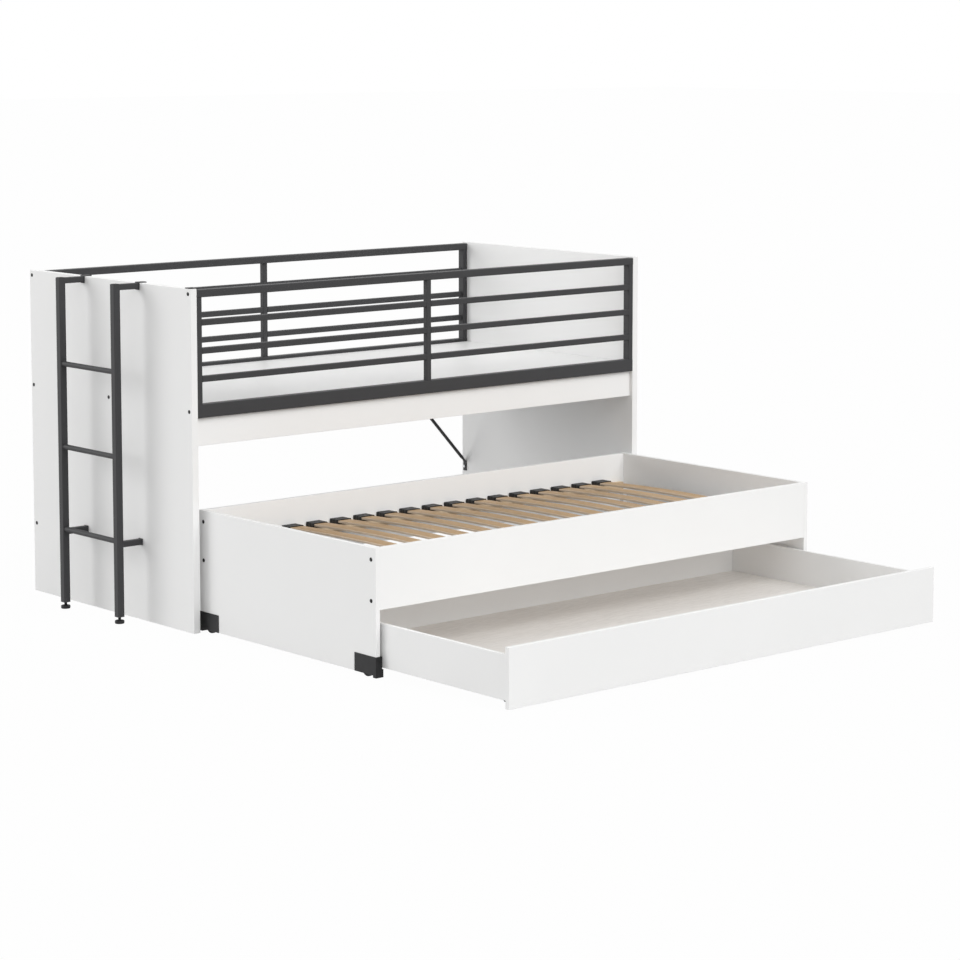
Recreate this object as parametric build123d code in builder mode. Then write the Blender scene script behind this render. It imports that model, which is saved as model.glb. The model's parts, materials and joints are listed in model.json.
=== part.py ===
from build123d import *
import os

# Mid sleeper bed with guard rails and a ladder, a trundle bed that rolls out from under it,
# and a storage drawer that rolls out from under the trundle. Millimetres, +Z up.
# Places are written in the bed's own corner coordinates: x from the outer face of the left
# end panel, y from the front edge of the end panels towards the back, z from the floor.
# The part's origin is the middle of its footprint on the floor, as it stands pulled out.

os.makedirs("parts", exist_ok=True)

# Upper bed
bed_length = 2010.0
bed_depth = 970.0
panel_height = 1135.0
panel_thickness = 25.0
panel_edge = 1.5

# Metal tubes of the upper bed
tube_wall = 1.5
tube_corner = 2.5
rail_depth = 30.0
bed_rail_bottom = 710.0
bed_rail_height = 45.0
top_rail_height = 25.0
top_rail_drop = 5.0
post_width = 20.0
bar_size = 20.0
guard_rail_count = 3
tab_thickness = 3.0

# White boards of the upper bed
board_edge = 1.0
side_board_thickness = 16.0
side_board_height = 93.0
deck_board_count = 5
deck_thickness = 16.0
deck_below_rail = 12.0
deck_joint = 0.6
deck_end_gap = 1.0
ledge_width = 20.0
cross_bar_width = 40.0

# Braces behind the bed
brace_diameter = 12.5
brace_inset = 18.0
brace_lug_width = 18.0
brace_lug_thickness = 3.0
brace_lug_length = 36.0
brace_foot_height = 226.0
brace_reach = 480.0
brace_taper = 26.0
bolt_head_diameter = 11.0
bolt_head_height = 5.0

# Screw caps
cap_diameter = 13.0
cap_proud = 1.5
cap_edge = 0.7
cap_inset = 14.0
brace_cap_height = 243.0

# Ladder on the left end panel
upright_size = 25.0
upright_corner = 3.0
ladder_offset = 90.0
ladder_front = 302.0
ladder_width = 330.0
rung_diameter = 18.0
rung_first = 275.5
rung_pitch = 284.0
rung_count = 3
arm_size = 20.0
arm_corner = 2.5
lower_arm_height = 266.0
bracket_thickness = 3.0
bracket_width = 22.0
hook_drop = 22.0
hook_leg = 23.0
foot_diameter = 32.0
foot_thickness = 12.0
foot_edge = 1.5
foot_gap = 10.0
stem_diameter = 10.0
stem_in_plug = 28.0
plug_depth = 25.0
running_clearance = 0.05

# Trundle bed
trundle_side_gap = 18.0
trundle_board = 16.0
trundle_depth = 922.0
trundle_height = 405.0
trundle_lift = 10.0
trundle_pulled_out = 897.0
trundle_front_height = 193.0
trundle_cap_inset = 22.4
trundle_cap_heights = (367.6, 239.5)
cleat_size = 18.0
cleat_bottom = 215.0
cleat_top = 290.0
slat_rail_width = 18.0
slat_rail_height = 30.0
slat_rail_top = 302.0
slat_count = 17
slat_first = 116.8
slat_width = 53.0
slat_thickness = 8.0
slat_crown = 12.0
slat_clearance = 0.3
holder_depth = 44.0
holder_height = 16.0
holder_wall = 2.5
holder_corner = 3.0

# Corner housings and wheels of the trundle
housing_length = 106.0
housing_top = 68.0
housing_plate = 2.5
housing_inner = 6.0
housing_lip = 3.0
housing_edge = 0.8
housing_floor_gap = 3.0
housing_nose = 15.0
housing_toe = 5.0
housing_toe_top = 28.0
wheel_diameter = 50.0
wheel_width = 13.0
wheel_side_gap = 0.5
wheel_round_gap = 3.0
wheel_edge = 2.0
wheel_dish = 1.5
hub_diameter = 18.0
rim_width = 5.0
axle_diameter = 6.0
axle_cover = 2.0
notch_clearance = 0.3

# Drawer
drawer_pulled_out = 570.0
drawer_stop_gap = 0.5
drawer_board = 16.0
drawer_side_board = 12.0
drawer_front_gap = 4.0
drawer_front_bottom = 10.0
drawer_front_height = 184.0
drawer_side_gap = 2.0
drawer_side_bottom = 33.0
drawer_side_height = 137.0
drawer_back_gap = 2.0
drawer_base_thickness = 12.0
drawer_base_top = 51.0

# Castors under the drawer
castor_diameter = 34.0
castor_width = 12.0
castor_side_gap = 0.5
castor_ear = 2.0
castor_plate = (52.0, 40.0, 2.0)
castor_ear_width = 22.0
castor_ear_drop = 7.0
castor_edge = 1.5
castor_from_side = 83.0
castor_from_end = 90.0

# Levels of the upper bed
bed_rail_top = bed_rail_bottom + bed_rail_height
top_rail_top = panel_height - top_rail_drop
top_rail_bottom = top_rail_top - top_rail_height
deck_top = bed_rail_top - deck_below_rail
deck_underside = deck_top - deck_thickness
inside_x = (panel_thickness, bed_length - panel_thickness)
brace_plane = bed_depth - brace_inset
middle_x = bed_length / 2

# The two guard frames, front and back, by the depth that their rails take up
front_rail_y = (0.0, rail_depth)
back_rail_y = (bed_depth - rail_depth, bed_depth)
front_bar_y = (0.0, bar_size)
back_bar_y = (bed_depth - bar_size, bed_depth)

# Limits of the trundle
trundle_x = (panel_thickness + trundle_side_gap, bed_length - panel_thickness - trundle_side_gap)
trundle_y = (-trundle_pulled_out, trundle_depth - trundle_pulled_out)
trundle_z = (trundle_lift, trundle_height)
trundle_inside_x = (trundle_x[0] + trundle_board, trundle_x[1] - trundle_board)
trundle_inside_y = (trundle_y[0] + trundle_board, trundle_y[1] - trundle_board)
trundle_front_bottom = trundle_height - trundle_front_height
housing_face_y = trundle_y[0] - housing_plate

# Limits of the drawer, pulled out
drawer_front_y = housing_face_y - drawer_stop_gap - drawer_pulled_out
drawer_back_y = trundle_inside_y[1] - drawer_back_gap - drawer_pulled_out
drawer_front_x = (trundle_inside_x[0] + drawer_front_gap, trundle_inside_x[1] - drawer_front_gap)
drawer_side_offset = trundle_board + housing_inner + drawer_side_gap
drawer_x = (trundle_x[0] + drawer_side_offset, trundle_x[1] - drawer_side_offset)
drawer_side_z = (drawer_side_bottom, drawer_side_bottom + drawer_side_height)

# The part's origin in corner coordinates
left_reach = ladder_offset + max(foot_diameter, upright_size) / 2
right_reach = bed_length + cap_proud
front_reach = drawer_board - drawer_front_y
origin_x = (right_reach - left_reach) / 2
origin_y = (bed_depth - front_reach) / 2


def size(span):
    """Distance between the two limits of a span."""
    return span[1] - span[0]


def middle(span):
    """Point halfway between the two limits of a span."""
    return (span[0] + span[1]) / 2


def about(centre, width):
    """Span of a given width about a centre."""
    return (centre - width / 2, centre + width / 2)


def plane_at(axis, place):
    """Plane square to an axis. Its own axes are Y and Z on x, Z and X on y, X and Y on z."""
    if axis == "x":
        return Plane(origin=(place - origin_x, -origin_y, 0), x_dir=(0, 1, 0), z_dir=(1, 0, 0))
    if axis == "y":
        return Plane(origin=(-origin_x, place - origin_y, 0), x_dir=(0, 0, 1), z_dir=(0, 1, 0))
    return Plane(origin=(-origin_x, -origin_y, place))


def add_block(x, y, z, mode=Mode.ADD):
    """Add a block between three spans to the part in progress, or cut it out."""
    with Locations((middle(x) - origin_x, middle(y) - origin_y, middle(z))):
        Box(size(x), size(y), size(z), mode=mode)


def save(name, piece):
    """Label a finished piece with its name and write it."""
    piece.part.label = name
    export_step(piece.part, f"parts/{name}.step")


def board(x, y, z, edge=board_edge):
    """Flat board between three spans, with eased edges."""
    with BuildPart() as flat:
        add_block(x, y, z)
        fillet(flat.edges(), radius=edge)
    return flat


def tube_profile(width, height, corner=tube_corner):
    """Rounded rectangle with its bore, for the sketch in progress."""
    RectangleRounded(width, height, corner)
    bore_corner = corner - tube_wall
    RectangleRounded(width - 2 * tube_wall, height - 2 * tube_wall, bore_corner, mode=Mode.SUBTRACT)


def mirrored_x(span, side):
    """Span at the left end, or its mirror image at the right end."""
    if side == "left":
        return span
    return (bed_length - span[1], bed_length - span[0])


def mirrored_y(span, end):
    """Span at the trundle's front, or its mirror image at its back."""
    if end == "front":
        return span
    ends = trundle_y[0] + trundle_y[1]
    return (ends - span[1], ends - span[0])


# End panels

left_end_panel = board((0.0, panel_thickness), (0.0, bed_depth), (0.0, panel_height), panel_edge)
save("left_end_panel", left_end_panel)
right_end_panel = board((inside_x[1], bed_length), (0.0, bed_depth), (0.0, panel_height), panel_edge)
save("right_end_panel", right_end_panel)

# Front side board, under the front bed rail and flush with its back face

front_side_board = board(
    inside_x,
    (rail_depth - side_board_thickness, rail_depth),
    (bed_rail_bottom - side_board_height, bed_rail_bottom),
)
save("front_side_board", front_side_board)

# Bed rails, top rails, posts, guard rails and centre bars, front and back

guard_bottom = bed_rail_top
guard_top = top_rail_bottom
guard_space = (guard_top - guard_bottom - guard_rail_count * bar_size) / (guard_rail_count + 1)
guard_pitch = guard_space + bar_size
guard_levels = [guard_bottom + guard_pitch * (n + 1) - bar_size / 2 for n in range(guard_rail_count)]
left_post_x = (inside_x[0], inside_x[0] + post_width)
right_post_x = (inside_x[1] - post_width, inside_x[1])
centre_bar_x = about(middle_x, bar_size)

for place, rail_y, bar_y in (("front", front_rail_y, front_bar_y), ("back", back_rail_y, back_bar_y)):
    with BuildPart() as bed_rail:
        with BuildSketch(plane_at("x", inside_x[0])):
            with Locations((middle(rail_y), bed_rail_bottom + bed_rail_height / 2)):
                tube_profile(rail_depth, bed_rail_height)
        extrude(amount=size(inside_x))
    save(f"{place}_bed_rail", bed_rail)

    with BuildPart() as top_rail:
        with BuildSketch(plane_at("x", inside_x[0])):
            with Locations((middle(rail_y), top_rail_bottom + top_rail_height / 2)):
                tube_profile(rail_depth, top_rail_height)
        extrude(amount=size(inside_x))
        if place == "front":
            # the tab that is bent over the top edge of the left end panel
            tab_top = panel_height + tab_thickness
            add_block((0.0, inside_x[0] + tab_thickness), rail_y, (panel_height, tab_top))
            add_block((inside_x[0], inside_x[0] + tab_thickness), rail_y, (top_rail_top - tube_wall, tab_top))
    save(f"{place}_top_rail", top_rail)

    with BuildPart() as guard_posts:
        with BuildSketch(plane_at("z", guard_bottom)):
            with Locations((middle(left_post_x), middle(rail_y)), (middle(right_post_x), middle(rail_y))):
                tube_profile(post_width, rail_depth)
        extrude(amount=guard_top - guard_bottom)
    save(f"{place}_guard_posts", guard_posts)

    # each guard rail is two lengths of tube, from the posts to the centre bar
    with BuildPart() as guard_rails:
        for start, stop in ((left_post_x[1], centre_bar_x[0]), (centre_bar_x[1], right_post_x[0])):
            with BuildSketch(plane_at("x", start)):
                with Locations(*[(middle(bar_y), level) for level in guard_levels]):
                    tube_profile(bar_size, bar_size)
            extrude(amount=stop - start)
    save(f"{place}_guard_rails", guard_rails)

with BuildPart() as centre_bars:
    with BuildSketch(plane_at("z", guard_bottom)):
        with Locations((middle_x, middle(front_bar_y)), (middle_x, middle(back_bar_y))):
            tube_profile(bar_size, bar_size)
    extrude(amount=guard_top - guard_bottom)
save("centre_bars", centre_bars)

# Deck: ledge tubes inside the bed rails, cross bars under the joints, and the boards

ledge_z = (bed_rail_bottom, deck_underside)
ledge_height = size(ledge_z)
front_ledge_y = (rail_depth, rail_depth + ledge_width)
back_ledge_y = (bed_depth - rail_depth - ledge_width, bed_depth - rail_depth)
deck_board_width = size(inside_x) / deck_board_count
deck_joints = [inside_x[0] + deck_board_width * (n + 1) for n in range(deck_board_count - 1)]

with BuildPart() as deck_ledges:
    with BuildSketch(plane_at("x", inside_x[0])):
        with Locations((middle(front_ledge_y), middle(ledge_z)), (middle(back_ledge_y), middle(ledge_z))):
            tube_profile(ledge_width, ledge_height)
    extrude(amount=size(inside_x))
save("deck_ledges", deck_ledges)

with BuildPart() as deck_cross_bars:
    with BuildSketch(plane_at("y", front_ledge_y[1])):
        with Locations(*[(middle(ledge_z), joint) for joint in deck_joints]):
            tube_profile(ledge_height, cross_bar_width)
    extrude(amount=back_ledge_y[0] - front_ledge_y[1])
save("deck_cross_bars", deck_cross_bars)

deck_y = (rail_depth + deck_end_gap, bed_depth - rail_depth - deck_end_gap)
for n in range(deck_board_count):
    deck_start = inside_x[0] + n * deck_board_width
    deck_x = (deck_start + deck_joint / 2, deck_start + deck_board_width - deck_joint / 2)
    save(f"deck_board_{n + 1}", board(deck_x, deck_y, (deck_underside, deck_top)))

# Diagonal braces behind the bed: a tube with flattened ends, one bolted to the end panel's
# inner face and one under the back bed rail

brace_y = about(brace_plane, brace_lug_width)
lug_end_x = panel_thickness + brace_lug_thickness
lug_foot_z = (brace_foot_height, brace_foot_height + brace_lug_length)
lug_head_z = (bed_rail_bottom - brace_lug_thickness, bed_rail_bottom)
lug_head_x = (brace_reach - brace_lug_length, brace_reach)
lug_mid_x = panel_thickness + brace_lug_thickness / 2
lug_mid_z = bed_rail_bottom - brace_lug_thickness / 2


def brace(side):
    """Brace at one end of the bed, lofted from its flat lugs into its round tube and back."""
    sign = 1 if side == "left" else -1

    def on_side(x):
        return x if side == "left" else bed_length - x

    low = Vector(on_side(lug_mid_x), brace_plane, lug_foot_z[1])
    high = Vector(on_side(lug_head_x[0]), brace_plane, lug_mid_z)
    run = (high - low).normalized()
    shift = Vector(-origin_x, -origin_y, 0)
    tube_start = Plane(origin=low + run * brace_taper + shift, x_dir=(0, 1, 0), z_dir=run)
    tube_length = (high - low).length - 2 * brace_taper
    low_plane = Plane(origin=low + shift, x_dir=(0, 1, 0), z_dir=(0, 0, 1))
    high_plane = Plane(origin=high + shift, x_dir=(0, 1, 0), z_dir=(sign, 0, 0))
    with BuildPart() as rod:
        with BuildSketch(tube_start):
            Circle(brace_diameter / 2)
        extrude(amount=tube_length)
        with BuildSketch(low_plane):
            Rectangle(brace_lug_width, brace_lug_thickness)
        with BuildSketch(tube_start):
            Circle(brace_diameter / 2)
        loft()
        with BuildSketch(tube_start.offset(tube_length)):
            Circle(brace_diameter / 2)
        with BuildSketch(high_plane):
            Rectangle(brace_lug_width, brace_lug_thickness)
        loft()
        add_block(mirrored_x((panel_thickness, lug_end_x), side), brace_y, lug_foot_z)
        add_block(mirrored_x(lug_head_x, side), brace_y, lug_head_z)
    return rod


save("left_brace", brace("left"))
save("right_brace", brace("right"))

foot_bolt_z = brace_cap_height
head_bolt_x = middle(lug_head_x)
with BuildPart() as brace_bolts:
    for bolt_x in (lug_end_x, bed_length - lug_end_x - bolt_head_height):
        with BuildSketch(plane_at("x", bolt_x)):
            with Locations((brace_plane, foot_bolt_z)):
                RegularPolygon(bolt_head_diameter / 2, 6)
        extrude(amount=bolt_head_height)
    with BuildSketch(plane_at("z", lug_head_z[0] - bolt_head_height)):
        with Locations((head_bolt_x, brace_plane), (bed_length - head_bolt_x, brace_plane)):
            RegularPolygon(bolt_head_diameter / 2, 6)
    extrude(amount=bolt_head_height)
save("brace_bolts", brace_bolts)

# Screw caps on the outer faces of the end panels

top_cap_z = middle((top_rail_bottom, top_rail_top))
bed_cap_z = bed_rail_bottom + bed_rail_height / 2
bed_cap_places = [
    (cap_inset, top_cap_z),
    (cap_inset, bed_cap_z),
    (bed_depth / 2, middle((deck_underside, deck_top))),
    (bed_depth - cap_inset, top_cap_z),
    (bed_depth - cap_inset, bed_cap_z),
    (brace_plane, brace_cap_height),
]


def add_caps(face, outward, places):
    """Low domed caps on a face square to X. Outward is -1 on the left and 1 on the right."""
    start = face - cap_proud if outward < 0 else face
    with BuildSketch(plane_at("x", start)) as discs:
        with Locations(*places):
            Circle(cap_diameter / 2)
    extrude(discs.sketch, amount=cap_proud)


with BuildPart() as bed_screw_caps:
    add_caps(0.0, -1, bed_cap_places)
    add_caps(bed_length, 1, bed_cap_places)
    outer_rims = bed_screw_caps.edges().filter_by(GeomType.CIRCLE).group_by(Axis.X)
    fillet(outer_rims[0] + outer_rims[-1], radius=cap_edge)
save("bed_screw_caps", bed_screw_caps)

# Ladder: uprights, arms, rungs, brackets and levelling feet

ladder_back = ladder_front + ladder_width
upright_bottom = foot_thickness + foot_gap
upright_half = upright_size / 2
arm_z = (panel_height - arm_size, panel_height)
arm_x = (-ladder_offset + upright_half, -bracket_thickness)
stem_top = upright_bottom + stem_in_plug

for name, ladder_y in (("rear", ladder_back), ("front", ladder_front)):
    with BuildPart() as upright:
        with BuildSketch(plane_at("z", upright_bottom)):
            with Locations((-ladder_offset, ladder_y)):
                RectangleRounded(upright_size, upright_size, upright_corner)
        extrude(amount=panel_height - upright_bottom)
        # hollow above the plug that holds the foot, closed at the top
        bore = upright_size - 2 * tube_wall
        with BuildSketch(plane_at("z", upright_bottom + plug_depth)):
            with Locations((-ladder_offset, ladder_y)):
                RectangleRounded(bore, bore, upright_corner - tube_wall)
        extrude(amount=panel_height - upright_bottom - plug_depth - tube_wall, mode=Mode.SUBTRACT)
        with BuildSketch(plane_at("z", upright_bottom)):
            with Locations((-ladder_offset, ladder_y)):
                Circle(stem_diameter / 2 + running_clearance)
        extrude(amount=plug_depth, mode=Mode.SUBTRACT)
    save(f"ladder_{name}_upright", upright)

    with BuildPart() as foot:
        with BuildSketch(plane_at("z", 0.0)):
            with Locations((-ladder_offset, ladder_y)):
                Circle(foot_diameter / 2)
        extrude(amount=foot_thickness)
        fillet(foot.edges().filter_by(GeomType.CIRCLE), radius=foot_edge)
        with BuildSketch(plane_at("z", foot_thickness)):
            with Locations((-ladder_offset, ladder_y)):
                Circle(stem_diameter / 2)
        extrude(amount=stem_top - foot_thickness)
    save(f"ladder_{name}_foot", foot)

with BuildPart() as ladder_arms:
    with BuildSketch(plane_at("x", arm_x[0])):
        for ladder_y in (ladder_front, ladder_back):
            with Locations((ladder_y, middle(arm_z)), (ladder_y, lower_arm_height)):
                tube_profile(arm_size, arm_size, arm_corner)
    extrude(amount=size(arm_x))
save("ladder_arms", ladder_arms)

rung_names = ("bottom", "middle", "top")
for n in range(rung_count):
    with BuildPart() as rung:
        with BuildSketch(plane_at("y", ladder_front + upright_half)):
            with Locations((rung_first + n * rung_pitch, -ladder_offset)):
                Circle(rung_diameter / 2)
                Circle(rung_diameter / 2 - tube_wall, mode=Mode.SUBTRACT)
        extrude(amount=ladder_width - upright_size)
    save(f"ladder_{rung_names[n]}_rung", rung)

# brackets: hooks over the top edge of the panel, and plates behind the lower arms
with BuildPart() as ladder_brackets:
    for ladder_y in (ladder_front, ladder_back):
        bracket_y = about(ladder_y, bracket_width)
        hook_top = panel_height + bracket_thickness
        hook_inner = panel_thickness + bracket_thickness
        add_block((-bracket_thickness, 0.0), bracket_y, (panel_height - hook_leg, hook_top))
        add_block((0.0, hook_inner), bracket_y, (panel_height, hook_top))
        add_block((panel_thickness, hook_inner), bracket_y, (panel_height - hook_drop, panel_height))
        add_block((-bracket_thickness, 0.0), bracket_y, about(lower_arm_height, bracket_width))
save("ladder_brackets", ladder_brackets)

# Trundle panels. The side panels are notched at both ends for the wheel housings.

housing_y = (housing_face_y, housing_face_y + housing_length)
notch_y = (trundle_y[0], housing_y[1] - housing_lip)
notch_top = housing_top - housing_lip

for side in ("left", "right"):
    side_x = mirrored_x((trundle_x[0], trundle_inside_x[0]), side)
    with BuildPart() as side_panel:
        add_block(side_x, trundle_y, trundle_z)
        for end in ("front", "back"):
            add_block(side_x, mirrored_y(notch_y, end), (trundle_lift, notch_top), Mode.SUBTRACT)
        long_edges = side_panel.edges().filter_by(Axis.Y).group_by(Axis.Z)[-1]
        fillet(long_edges, radius=board_edge)
    save(f"trundle_{side}_panel", side_panel)

trundle_front_panel = board(
    trundle_inside_x, (trundle_y[0], trundle_inside_y[0]), (trundle_front_bottom, trundle_height)
)
save("trundle_front_panel", trundle_front_panel)
trundle_back_panel = board(
    trundle_inside_x, (trundle_inside_y[1], trundle_y[1]), (trundle_front_bottom, trundle_height)
)
save("trundle_back_panel", trundle_back_panel)

# Corner cleats, behind the front panel and before the back panel, that the capped screws hold

cleat_x = (trundle_inside_x[0], trundle_inside_x[0] + cleat_size)
cleat_y = (trundle_inside_y[0], trundle_inside_y[0] + cleat_size)
with BuildPart() as trundle_corner_cleats:
    for side in ("left", "right"):
        for end in ("front", "back"):
            add_block(mirrored_x(cleat_x, side), mirrored_y(cleat_y, end), (cleat_bottom, cleat_top))
save("trundle_corner_cleats", trundle_corner_cleats)

# Slat rails, slats and slat holders

slat_rail_x = (cleat_x[1], bed_length - cleat_x[1])
slat_rail_y = (trundle_inside_y[0], trundle_inside_y[0] + slat_rail_width)
slat_rail_z = (slat_rail_top - slat_rail_height, slat_rail_top)
with BuildPart() as slat_rails:
    for end in ("front", "back"):
        add_block(slat_rail_x, mirrored_y(slat_rail_y, end), slat_rail_z)
save("slat_rails", slat_rails)

slat_pitch = (size(slat_rail_x) - 2 * slat_first) / (slat_count - 1)
slat_centres = [slat_rail_x[0] + slat_first + n * slat_pitch for n in range(slat_count)]
slat_low = slat_rail_top + holder_wall + slat_clearance
slat_high = slat_low + slat_thickness
slat_y = (
    trundle_inside_y[0] + holder_wall + slat_clearance,
    trundle_inside_y[1] - holder_wall - slat_clearance,
)
with BuildPart() as slats:
    for centre in slat_centres:
        with BuildSketch(plane_at("x", centre - slat_width / 2)):
            with BuildLine():
                ThreePointArc((slat_y[0], slat_low), (middle(slat_y), slat_low + slat_crown), (slat_y[1], slat_low))
                Line((slat_y[1], slat_low), (slat_y[1], slat_high))
                ThreePointArc(
                    (slat_y[1], slat_high), (middle(slat_y), slat_high + slat_crown), (slat_y[0], slat_high)
                )
                Line((slat_y[0], slat_high), (slat_y[0], slat_low))
            make_face()
        extrude(amount=slat_width)
save("slats", slats)

holder_width = slat_width + 2 * (holder_wall + slat_clearance)
pocket_width = slat_width + 2 * slat_clearance
pocket_height = holder_height - 2 * holder_wall
holder_row = (trundle_inside_y[0], trundle_inside_y[0] + holder_depth)
pocket_row = (trundle_inside_y[0] + holder_wall, trundle_inside_y[0] + holder_depth + holder_wall)
with BuildPart() as slat_holders:
    with BuildSketch(plane_at("z", slat_rail_top)):
        for end in ("front", "back"):
            with Locations(*[(centre, middle(mirrored_y(holder_row, end))) for centre in slat_centres]):
                RectangleRounded(holder_width, holder_depth, holder_corner)
    extrude(amount=holder_height)
    fillet(slat_holders.edges().group_by(Axis.Z)[-1], radius=board_edge)
    with BuildSketch(plane_at("z", slat_rail_top + holder_wall)):
        for end in ("front", "back"):
            with Locations(*[(centre, middle(mirrored_y(pocket_row, end))) for centre in slat_centres]):
                Rectangle(pocket_width, holder_depth)
    extrude(amount=pocket_height, mode=Mode.SUBTRACT)
save("slat_holders", slat_holders)

# Wheel housings, wheels and axles of the trundle

axle_z = wheel_diameter / 2
wheel_y = middle(housing_y)
housing_body_x = (trundle_x[0], trundle_inside_x[0] + housing_inner)
wheel_x = about(middle(housing_body_x), wheel_width)
cavity_x = (wheel_x[0] - wheel_side_gap, wheel_x[1] + wheel_side_gap)
cavity_y = about(wheel_y, wheel_diameter + 2 * wheel_round_gap)
cavity_z = (trundle_lift, wheel_diameter + wheel_round_gap)
axle_x = (housing_body_x[0] + axle_cover, housing_body_x[1] - axle_cover)


def wheel_housing(side, end):
    """Plastic shoe that fills the notch, laps the panel outside and in front, and holds the wheel."""
    body_y = (trundle_y[0], notch_y[1] - notch_clearance)
    inner_x = (trundle_inside_x[0], housing_body_x[1])
    plate_x = (trundle_x[0] - housing_plate, trundle_x[0])
    nose_x = (plate_x[0], housing_body_x[1])
    front_plate_y = (housing_face_y, trundle_y[0])
    nose_y = (housing_face_y, housing_face_y + housing_nose)
    toe_x = (housing_body_x[1], housing_body_x[1] + housing_toe)
    toe_y = (housing_face_y, body_y[1])
    with BuildPart() as shoe:
        add_block(mirrored_x(housing_body_x, side), mirrored_y(body_y, end), (trundle_lift, notch_top))
        add_block(mirrored_x(inner_x, side), mirrored_y(body_y, end), (trundle_lift, housing_top))
        add_block(mirrored_x(plate_x, side), mirrored_y(housing_y, end), (trundle_lift, housing_top))
        add_block(mirrored_x(nose_x, side), mirrored_y(front_plate_y, end), (housing_floor_gap, housing_top))
        add_block(mirrored_x(nose_x, side), mirrored_y(nose_y, end), (housing_floor_gap, trundle_lift))
        add_block(mirrored_x(toe_x, side), mirrored_y(toe_y, end), (housing_floor_gap, housing_toe_top))
        outer_face = shoe.faces().sort_by(Axis.X)[0 if side == "left" else -1]
        fillet(outer_face.edges(), radius=housing_edge)
        add_block(mirrored_x(cavity_x, side), mirrored_y(cavity_y, end), cavity_z, Mode.SUBTRACT)
        pin_x = mirrored_x(axle_x, side)
        with BuildSketch(plane_at("x", pin_x[0])):
            with Locations((middle(mirrored_y(cavity_y, end)), axle_z)):
                Circle(axle_diameter / 2 + running_clearance)
        extrude(amount=size(pin_x), mode=Mode.SUBTRACT)
    return shoe


def wheel(side, end):
    """Trundle wheel with a raised rim and hub and a bore for its axle."""
    span = mirrored_x(wheel_x, side)
    centre = (middle(mirrored_y(cavity_y, end)), axle_z)
    with BuildPart() as roller:
        with BuildSketch(plane_at("x", span[0])):
            with Locations(centre):
                Circle(wheel_diameter / 2)
        extrude(amount=wheel_width)
        fillet(roller.edges().filter_by(GeomType.CIRCLE), radius=wheel_edge)
        for face, depth in ((span[0], wheel_dish), (span[1], -wheel_dish)):
            with BuildSketch(plane_at("x", face)):
                with Locations(centre):
                    Circle(wheel_diameter / 2 - rim_width)
                    Circle(hub_diameter / 2, mode=Mode.SUBTRACT)
            extrude(amount=depth, mode=Mode.SUBTRACT)
        with BuildSketch(plane_at("x", span[0])):
            with Locations(centre):
                Circle(axle_diameter / 2 + running_clearance)
        extrude(amount=wheel_width, mode=Mode.SUBTRACT)
    return roller


corners = [(side, end) for end in ("front", "back") for side in ("left", "right")]
for side, end in corners:
    save(f"trundle_{end}_{side}_housing", wheel_housing(side, end))
    save(f"trundle_{end}_{side}_wheel", wheel(side, end))

with BuildPart() as trundle_axles:
    for side, end in corners:
        pin_x = mirrored_x(axle_x, side)
        with BuildSketch(plane_at("x", pin_x[0])):
            with Locations((middle(mirrored_y(cavity_y, end)), axle_z)):
                Circle(axle_diameter / 2)
        extrude(amount=size(pin_x))
save("trundle_axles", trundle_axles)

trundle_cap_places = [
    (cap_y, cap_z)
    for cap_y in (trundle_y[0] + trundle_cap_inset, trundle_y[1] - trundle_cap_inset)
    for cap_z in trundle_cap_heights
]
with BuildPart() as trundle_screw_caps:
    add_caps(trundle_x[0], -1, trundle_cap_places)
    add_caps(trundle_x[1], 1, trundle_cap_places)
    outer_rims = trundle_screw_caps.edges().filter_by(GeomType.CIRCLE).group_by(Axis.X)
    fillet(outer_rims[0] + outer_rims[-1], radius=cap_edge)
save("trundle_screw_caps", trundle_screw_caps)

# Drawer

drawer_front = board(
    drawer_front_x,
    (drawer_front_y - drawer_board, drawer_front_y),
    (drawer_front_bottom, drawer_front_bottom + drawer_front_height),
)
save("drawer_front", drawer_front)
drawer_depth_y = (drawer_front_y, drawer_back_y)
for side in ("left", "right"):
    drawer_side_x = mirrored_x((drawer_x[0], drawer_x[0] + drawer_side_board), side)
    save(f"drawer_{side}_side", board(drawer_side_x, drawer_depth_y, drawer_side_z))
drawer_inside_x = (drawer_x[0] + drawer_side_board, drawer_x[1] - drawer_side_board)
drawer_inside_y = (drawer_front_y, drawer_back_y - drawer_side_board)
save("drawer_back", board(drawer_inside_x, (drawer_inside_y[1], drawer_back_y), drawer_side_z))
drawer_base_z = (drawer_base_top - drawer_base_thickness, drawer_base_top)
save("drawer_base", board(drawer_inside_x, drawer_inside_y, drawer_base_z))

# Castors under the drawer: brackets with two ears, and wheels with moulded trunnions

castor_axle_z = castor_diameter / 2
castor_ear_x = castor_width / 2 + castor_side_gap
castor_places = {
    (side, end): (
        middle(mirrored_x((drawer_x[0] + castor_from_side, drawer_x[0] + castor_from_side), side)),
        drawer_front_y + castor_from_end if end == "front" else drawer_back_y - castor_from_end,
    )
    for side, end in corners
}
plate_length, plate_width, plate_thickness = castor_plate
castor_plate_z = (drawer_base_z[0] - plate_thickness, drawer_base_z[0])
castor_ear_z = (castor_axle_z - castor_ear_drop, castor_plate_z[0])
trunnion = castor_ear_x + castor_ear

with BuildPart() as castor_brackets:
    for place_x, place_y in castor_places.values():
        add_block(about(place_x, plate_width), about(place_y, plate_length), castor_plate_z)
        for ear_x in (
            (place_x - castor_ear_x - castor_ear, place_x - castor_ear_x),
            (place_x + castor_ear_x, place_x + castor_ear_x + castor_ear),
        ):
            add_block(ear_x, about(place_y, castor_ear_width), castor_ear_z)
            with BuildSketch(plane_at("x", ear_x[0])):
                with Locations((place_y, castor_axle_z)):
                    Circle(axle_diameter / 2 + running_clearance)
            extrude(amount=castor_ear, mode=Mode.SUBTRACT)
save("castor_brackets", castor_brackets)

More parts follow.
